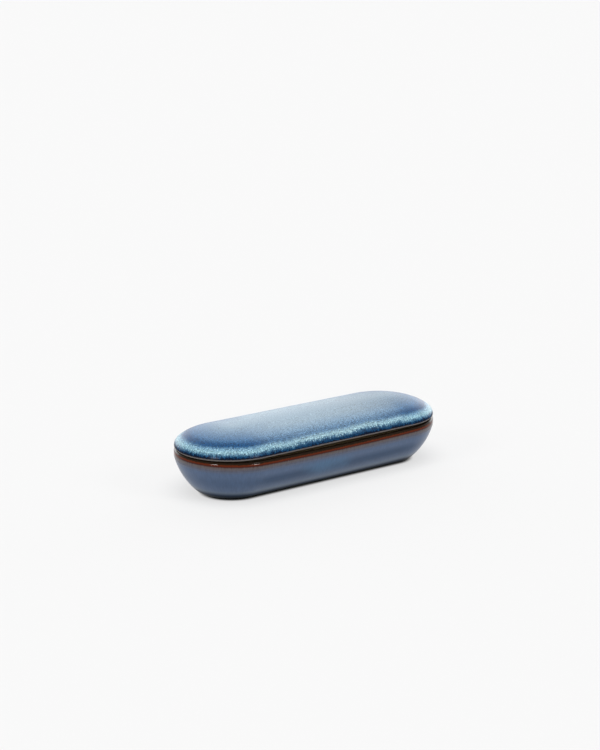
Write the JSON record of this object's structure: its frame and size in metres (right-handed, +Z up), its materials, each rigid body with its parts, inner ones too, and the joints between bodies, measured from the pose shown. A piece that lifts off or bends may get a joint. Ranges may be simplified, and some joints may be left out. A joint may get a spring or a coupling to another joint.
{
  "type": "lidded trinket box",
  "caption": "Long round-ended stoneware trinket box: a boat-shaped tray on a low foot under a lift-off domed lid, in mottled blue glaze that breaks to brown on the lip.",
  "frame": {"origin": "on the table, under the middle of the box", "axes": "+X along the length, +Y across, +Z up out of the lid"},
  "size_m": [0.2204, 0.0814, 0.0481],
  "materials": {
    "base_glaze": "gloss glaze, slate blue with a brown lip, bare clay under the foot",
    "lid_glaze": "gloss glaze, mottled blue with a pale speckled shoulder, brown underneath"
  },
  "bodies": {
    "base": {"base": "base_glaze"},
    "lid": {"lid": "lid_glaze"}
  },
  "joints": [
    {"name": "lid_lift", "type": "slide", "parent": "base", "child": "lid", "axis": [0, 0, 1], "range_m": [0, 0.08]}
  ]
}
